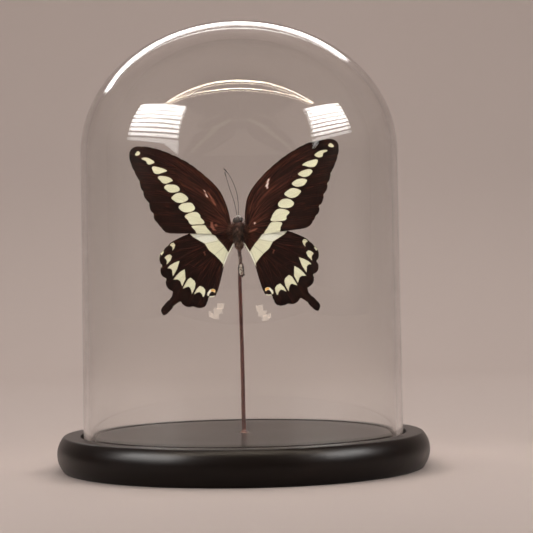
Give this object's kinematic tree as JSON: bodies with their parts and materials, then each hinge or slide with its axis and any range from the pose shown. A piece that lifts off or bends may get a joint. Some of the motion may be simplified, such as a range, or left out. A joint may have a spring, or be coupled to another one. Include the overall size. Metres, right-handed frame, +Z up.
{
  "type": "insect in glass dome",
  "caption": "Dried swallowtail butterfly with open wings on a thin stem, under a clear glass dome that rests in the groove of a round dark wooden base.",
  "frame": {"origin": "centre of the base's underside", "axes": "+Z up through the middle of the base and the dome; the butterfly's upper side faces -Y, with its head up"},
  "size_m": [0.17, 0.17, 0.204],
  "materials": {
    "dark_wood": "dark stained and satin varnished",
    "glass": "clear polished glass",
    "stem_wood": "thin reddish-brown rod, satin",
    "steel": "fine drawn wire",
    "fur": "short dull insect hair",
    "wing_scales": "dull dark wing scales with cream spots",
    "horn": "dry dark insect shell"
  },
  "bodies": {
    "root": {"base": "dark_wood", "dome": "glass", "stem": "stem_wood", "pin": "steel", "body": "fur", "forewing_left": "wing_scales", "forewing_right": "wing_scales", "hindwing_left": "wing_scales", "hindwing_right": "wing_scales", "antenna_left": "horn", "antenna_right": "horn", "leg_left_front": "horn", "leg_left_middle": "horn", "leg_left_hind": "horn", "leg_right_front": "horn", "leg_right_middle": "horn", "leg_right_hind": "horn"}
  },
  "joints": []
}
